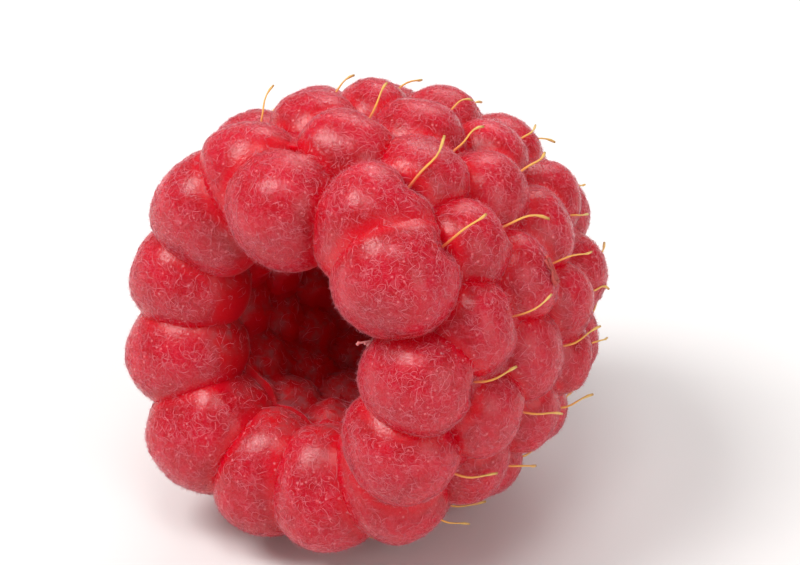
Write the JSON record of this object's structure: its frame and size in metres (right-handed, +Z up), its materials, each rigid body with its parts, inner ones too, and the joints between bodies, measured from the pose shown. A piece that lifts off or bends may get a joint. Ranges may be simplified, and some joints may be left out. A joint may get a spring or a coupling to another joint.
{
  "type": "raspberry",
  "caption": "Ripe picked raspberry lying on its side: drupelets grown together round an open hollow, each with a fine dried style.",
  "frame": {"origin": "on the surface that the berry lies on, under the centre of its bounding box", "axes": "+Z up from that surface, -Y the way the open mouth of the hollow faces, +Y towards the tip; the berry's own axis dips 8 degrees below +Y, so the tip is lower than the mouth; +X to the right for a viewer who looks into the mouth"},
  "size_m": [0.0226, 0.0234, 0.0224],
  "materials": {
    "raspberry": "soft translucent red skin under a fine pale down, dry straw-coloured styles"
  },
  "bodies": {
    "root": {"raspberry": "raspberry"}
  },
  "joints": []
}
